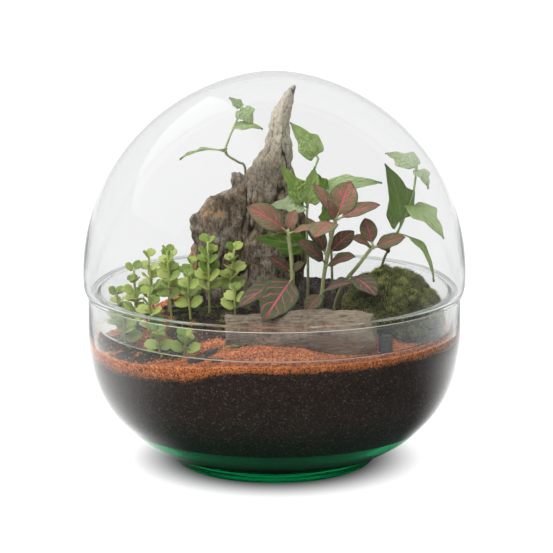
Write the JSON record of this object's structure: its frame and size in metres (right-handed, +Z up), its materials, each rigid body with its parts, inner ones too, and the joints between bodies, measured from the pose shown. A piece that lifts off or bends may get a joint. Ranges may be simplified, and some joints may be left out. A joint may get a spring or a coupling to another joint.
{
  "type": "glass plant terrarium",
  "caption": "Closed terrarium: round glass bowl and resting bell dome over soil, sand, wood, moss and leafy plants.",
  "frame": {"origin": "middle of the bowl's foot, on the surface that it stands on", "axes": "+Z up through the dome's top, -Y towards the side seen in the picture, +X to its right"},
  "size_m": [0.2986, 0.2986, 0.3065],
  "materials": {
    "clear_glass": "clear blown glass, faint grey-green edge",
    "green_glass": "clear blown glass, saturated green where it is thick at the base",
    "soil": "dark brown-black fine granular potting soil",
    "sand": "terracotta-orange crushed grit",
    "weathered_wood": "grey-brown weathered driftwood with vertical cracks",
    "slate": "dark blue-grey riven slate",
    "moss": "dense olive-green cushion moss",
    "pink_veined_leaf": "dark green leaves with a net of pink veins",
    "ivy_leaf": "satin mid-green lobed leaves",
    "sprig_leaf": "light yellow-green spoon-shaped leaves"
  },
  "bodies": {
    "root": {"dome": "clear_glass", "bowl": "green_glass", "soil": "soil", "sand": "sand", "standing_wood": "weathered_wood", "log": "weathered_wood", "moss_mound": "moss", "slate_log_end": "slate", "slate_front": "slate", "slate_front_small": "slate", "slate_wood_foot": "slate", "slate_left": "slate", "slate_middle": "slate", "pink_veined_left": "pink_veined_leaf", "pink_veined_middle": "pink_veined_leaf", "pink_veined_right": "pink_veined_leaf", "ivy_left": "ivy_leaf", "ivy_front": "ivy_leaf", "ivy_back": "ivy_leaf", "ivy_right": "ivy_leaf", "sprig_01": "sprig_leaf", "sprig_02": "sprig_leaf", "sprig_03": "sprig_leaf", "sprig_04": "sprig_leaf", "sprig_05": "sprig_leaf", "sprig_06": "sprig_leaf", "sprig_07": "sprig_leaf", "sprig_08": "sprig_leaf", "sprig_09": "sprig_leaf", "sprig_10": "sprig_leaf", "sprig_11": "sprig_leaf", "sprig_12": "sprig_leaf", "sprig_13": "sprig_leaf", "sprig_14": "sprig_leaf"}
  },
  "joints": []
}
